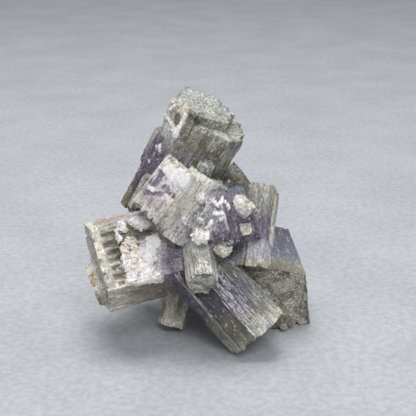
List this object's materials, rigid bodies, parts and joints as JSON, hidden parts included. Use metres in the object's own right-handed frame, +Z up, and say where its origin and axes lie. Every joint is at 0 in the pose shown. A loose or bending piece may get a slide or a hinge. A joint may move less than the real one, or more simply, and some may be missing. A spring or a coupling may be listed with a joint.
{
  "type": "aragonite cluster",
  "caption": "Intergrown cluster of stubby six-sided aragonite crystals with ribbed sides and rough ends, standing free on its lower crystal tips.",
  "frame": {"origin": "middle of the cluster's outer box on the plane that it stands on", "axes": "+Z up, -Y towards the side that shows the broad left crystal and the front foot, +X to its right"},
  "size_m": [0.0642, 0.0534, 0.0686],
  "materials": {
    "aragonite": "rough"
  },
  "bodies": {
    "root": {"aragonite_cluster": "aragonite"}
  },
  "joints": []
}
